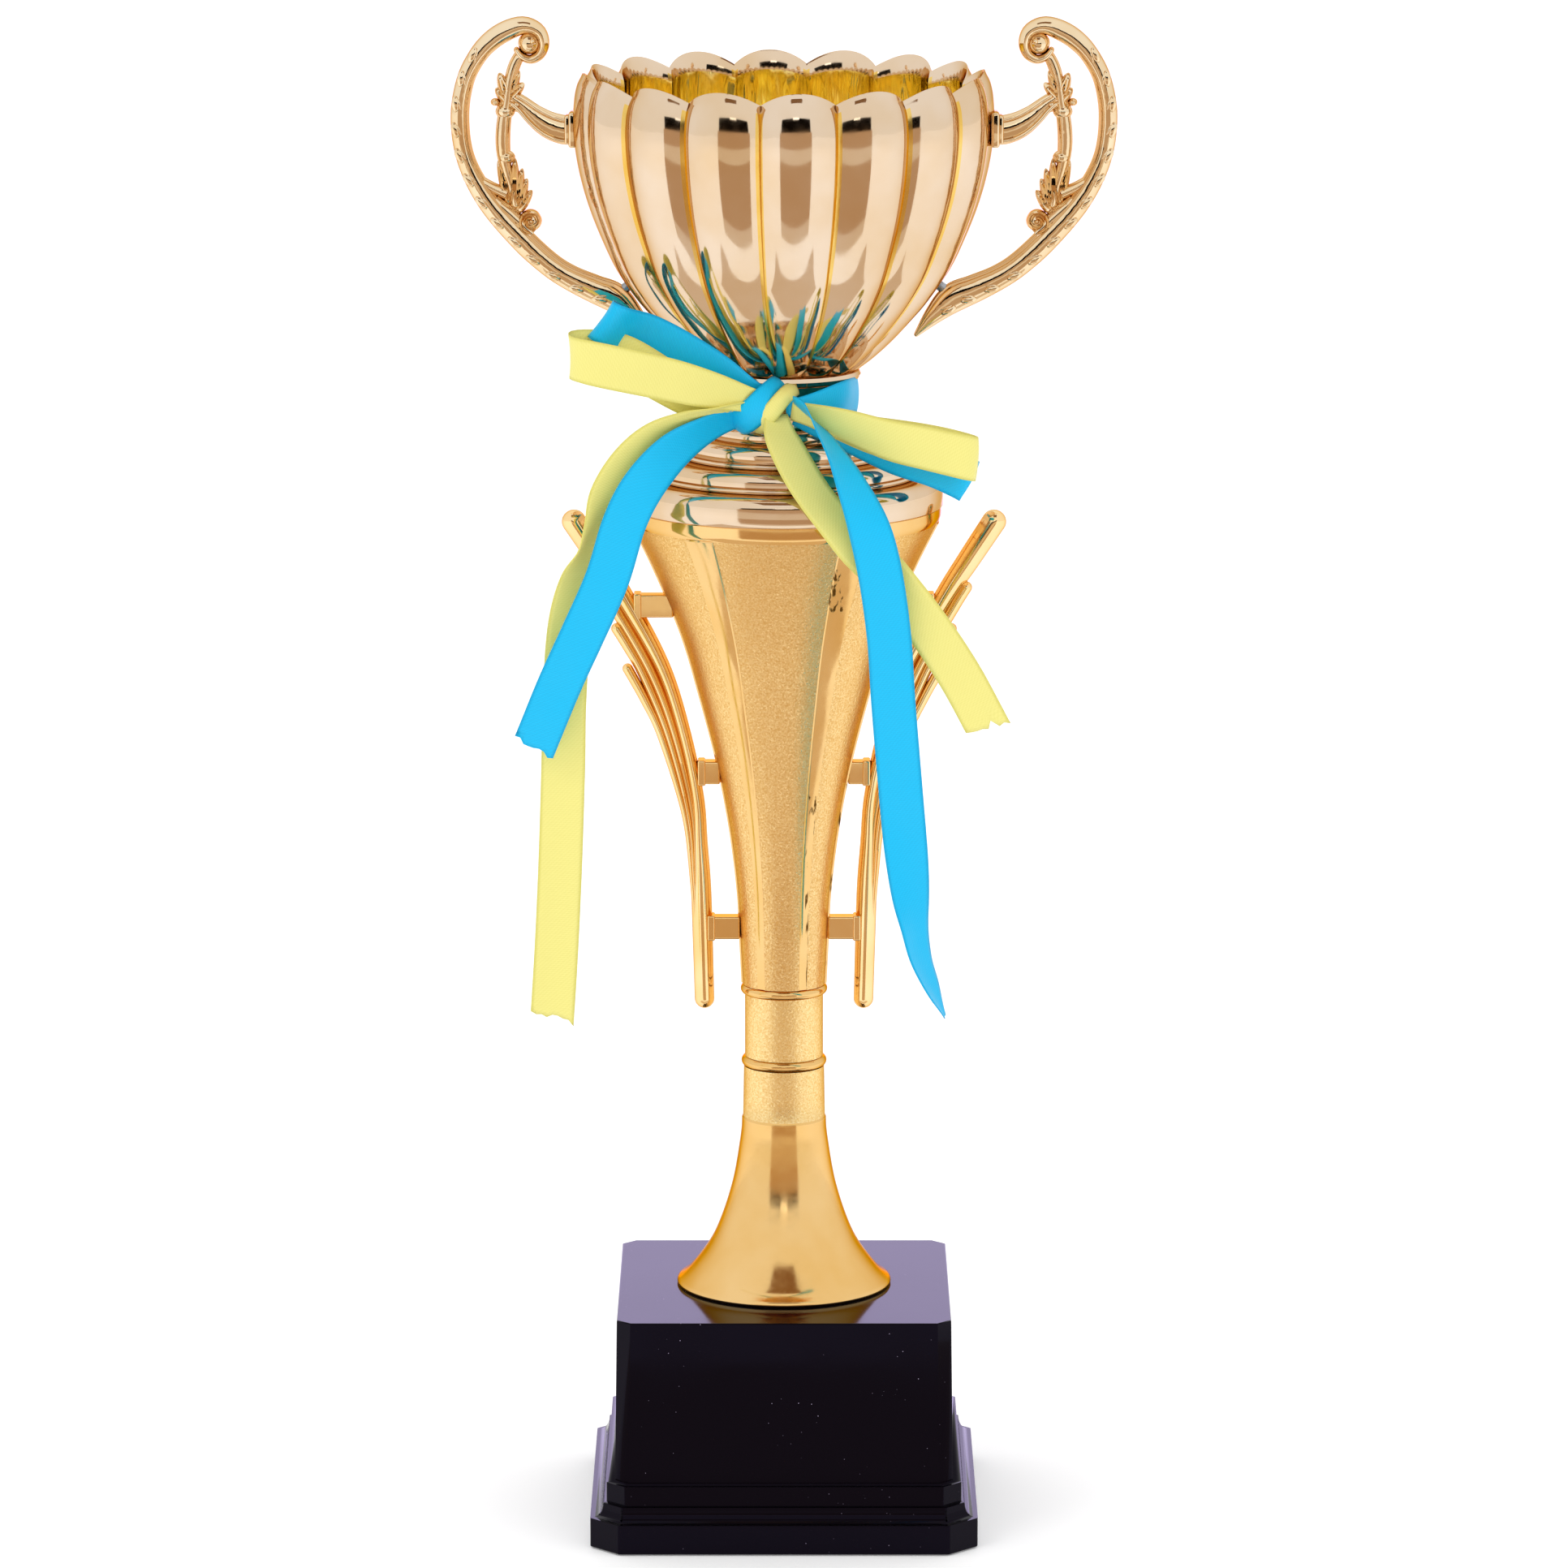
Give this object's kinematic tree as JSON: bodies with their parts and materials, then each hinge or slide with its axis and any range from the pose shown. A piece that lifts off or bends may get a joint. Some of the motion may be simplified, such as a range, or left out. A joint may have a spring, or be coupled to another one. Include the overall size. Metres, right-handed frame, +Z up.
{
  "type": "cup trophy",
  "caption": "Tall cup trophy: fluted open bowl with two scroll handles on a tapering column with side wings, a black square plinth and ribbons tied at the neck.",
  "frame": {"origin": "middle of the plinth's underside", "axes": "+Z up along the rod; the handles lie along X; -Y is the front, where the ribbons are tied"},
  "size_m": [0.1824, 0.1154, 0.42],
  "materials": {
    "cup_gold": "vacuum-metallised plastic, pale champagne gold, mirror bright",
    "column_gold": "vacuum-metallised plastic, warm gold, bright with sand-textured panels",
    "black_plastic": "black polystyrene, high gloss",
    "black_board": "black fibre board",
    "plaster": "cast plaster",
    "zinc_steel": "zinc plated",
    "blue_ribbon": "satin ribbon, sky blue",
    "yellow_ribbon": "satin ribbon, lemon yellow"
  },
  "bodies": {
    "root": {"plinth_shell": "black_plastic", "plinth_weight": "plaster", "bottom_cover": "black_board", "tie_rod": "zinc_steel", "lower_washer": "zinc_steel", "lower_nut": "zinc_steel", "stem_foot": "column_gold", "lower_bead_ring": "column_gold", "collar": "column_gold", "upper_bead_ring": "column_gold", "cone_body": "column_gold", "stepped_dome": "cup_gold", "neck_spool": "cup_gold", "bowl": "cup_gold", "bowl_washer": "zinc_steel", "bowl_nut": "zinc_steel", "handle_right": "cup_gold", "handle_left": "cup_gold", "handle_screws": "zinc_steel", "wing_right": "column_gold", "wing_left": "column_gold", "ribbon_blue": "blue_ribbon", "ribbon_yellow": "yellow_ribbon"}
  },
  "joints": []
}
